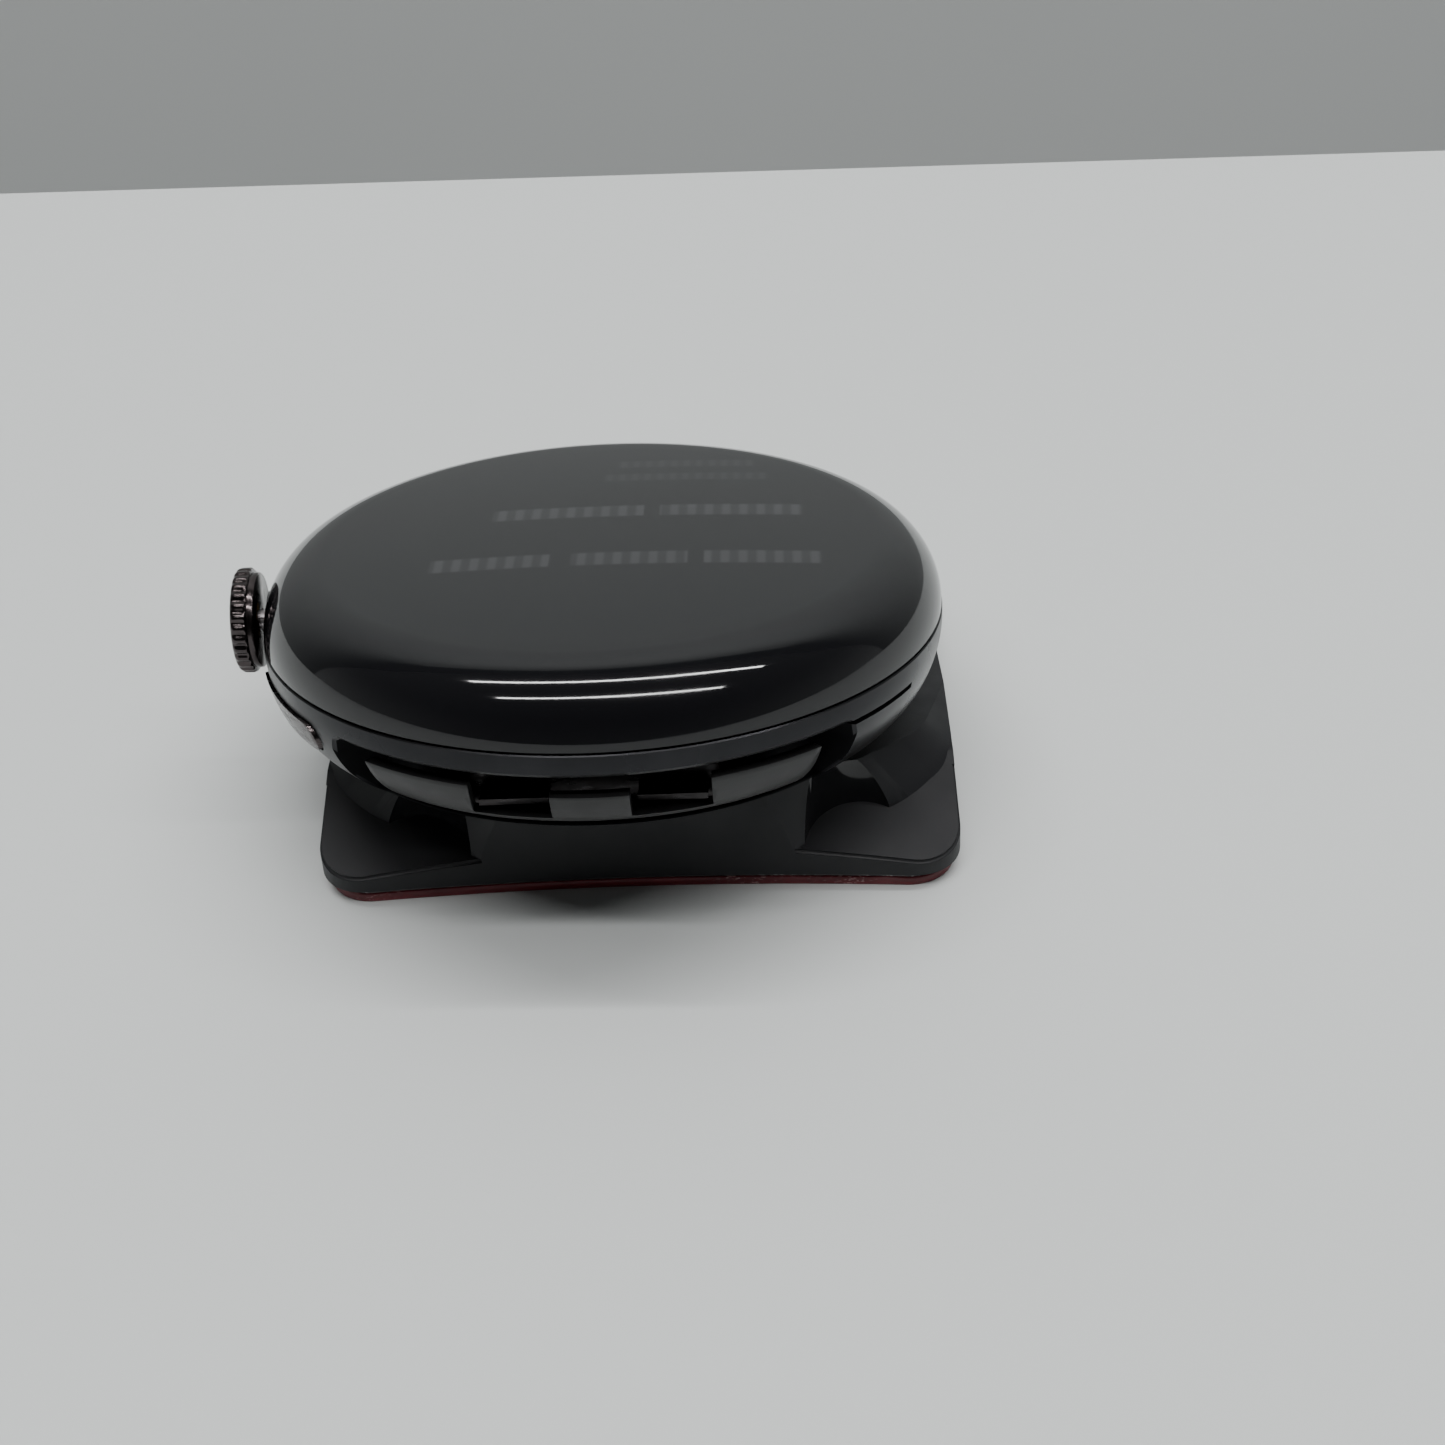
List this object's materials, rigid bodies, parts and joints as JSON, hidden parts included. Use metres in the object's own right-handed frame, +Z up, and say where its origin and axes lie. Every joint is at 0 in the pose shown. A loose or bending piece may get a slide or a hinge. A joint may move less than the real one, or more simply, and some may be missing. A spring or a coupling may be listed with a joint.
{
  "type": "smartwatch head on display stand",
  "caption": "Round smartwatch head with a domed glass, side crown and side button, resting on a black wedge display stand with adhesive foam and a release liner under it.",
  "frame": {"origin": "middle of the stand's underside, on the release liner's lower face", "axes": "+Z up; -Y is the raised front of the stand, where the head's 12 o'clock side is; -X is the crown's side"},
  "size_m": [0.0435, 0.0413, 0.0212],
  "materials": {
    "black_glass": "polished dark dome",
    "display_black": "unlit display panel",
    "satin_black_steel": "satin black coated steel",
    "polished_gunmetal": "polished dark steel",
    "bright_steel": "plain steel",
    "brass": "turned brass",
    "copper_wire": "wound copper wire",
    "black_rubber": "moulded rubber",
    "board_green": "circuit board",
    "dark_plastic": "moulded plastic",
    "cell_wrap": "pouch cell foil",
    "nickel_magnet": "plated magnet",
    "back_ceramic": "glossy back cover",
    "stand_plastic": "black moulding, partly glossy",
    "grey_gel": "soft tacky pad",
    "clear_grey_foam": "translucent adhesive foam",
    "red_liner": "thin release film"
  },
  "bodies": {
    "stand": {"stand_shell": "stand_plastic", "seat_pad": "grey_gel", "seat_magnet": "nickel_magnet", "ballast_plate": "bright_steel", "plate_screw_1": "bright_steel", "plate_screw_2": "bright_steel", "plate_screw_3": "bright_steel", "plate_screw_4": "bright_steel", "adhesive_foam": "clear_grey_foam", "release_liner": "red_liner"},
    "watch_head": {"case_body": "satin_black_steel", "cover_glass": "black_glass", "display_panel": "display_black", "glass_gasket": "black_rubber", "inner_frame": "dark_plastic", "main_board": "board_green", "board_screw_1": "bright_steel", "board_screw_2": "bright_steel", "board_screw_3": "bright_steel", "battery": "cell_wrap", "haptic_motor": "bright_steel", "speaker_module": "dark_plastic", "crown_bush": "brass", "crown_switch": "dark_plastic", "button_switch": "dark_plastic", "front_slot_insert": "satin_black_steel", "rear_slot_insert": "satin_black_steel", "back_cover": "back_ceramic", "sensor_window": "black_glass", "sensor_board": "board_green", "charging_coil": "copper_wire", "back_gasket": "black_rubber"},
    "crown_press": {"crown_pusher": "dark_plastic"},
    "crown": {"crown_knob": "polished_gunmetal", "crown_stem": "bright_steel", "crown_seal": "black_rubber", "crown_circlip": "bright_steel", "crown_encoder": "nickel_magnet"},
    "side_button": {"side_button": "polished_gunmetal", "button_seal": "black_rubber"},
    "front_band_catch": {"front_catch_spring": "bright_steel"},
    "rear_band_catch": {"rear_catch_spring": "bright_steel"}
  },
  "joints": [
    {"name": "head_lift", "type": "slide", "parent": "stand", "child": "watch_head", "axis": [0, 0.2284, 0.9736], "range_m": [0, 0.03]},
    {"name": "crown_push", "type": "slide", "parent": "watch_head", "child": "crown_press", "axis": [1, 0, 0], "range_m": [0, 0.00025], "stiffness_N_per_m": 500, "springref_m": -0.002},
    {"name": "crown_turn", "type": "hinge", "parent": "crown_press", "child": "crown", "pos_m": [-0.02225, -0.00442, 0.0129], "axis": [1, 0, 0], "continuous": true},
    {"name": "button_push", "type": "slide", "parent": "watch_head", "child": "side_button", "axis": [0.9063, 0.4115, -0.0965], "range_m": [0, 0.0003], "stiffness_N_per_m": 500, "springref_m": -0.002},
    {"name": "front_catch_push", "type": "slide", "parent": "watch_head", "child": "front_band_catch", "axis": [0, 0.9736, -0.2284], "range_m": [0, 0.0005], "stiffness_N_per_m": 500, "springref_m": -0.002},
    {"name": "rear_catch_push", "type": "slide", "parent": "watch_head", "child": "rear_band_catch", "axis": [0, -0.9736, 0.2284], "range_m": [0, 0.0005], "stiffness_N_per_m": 500, "springref_m": -0.002}
  ]
}
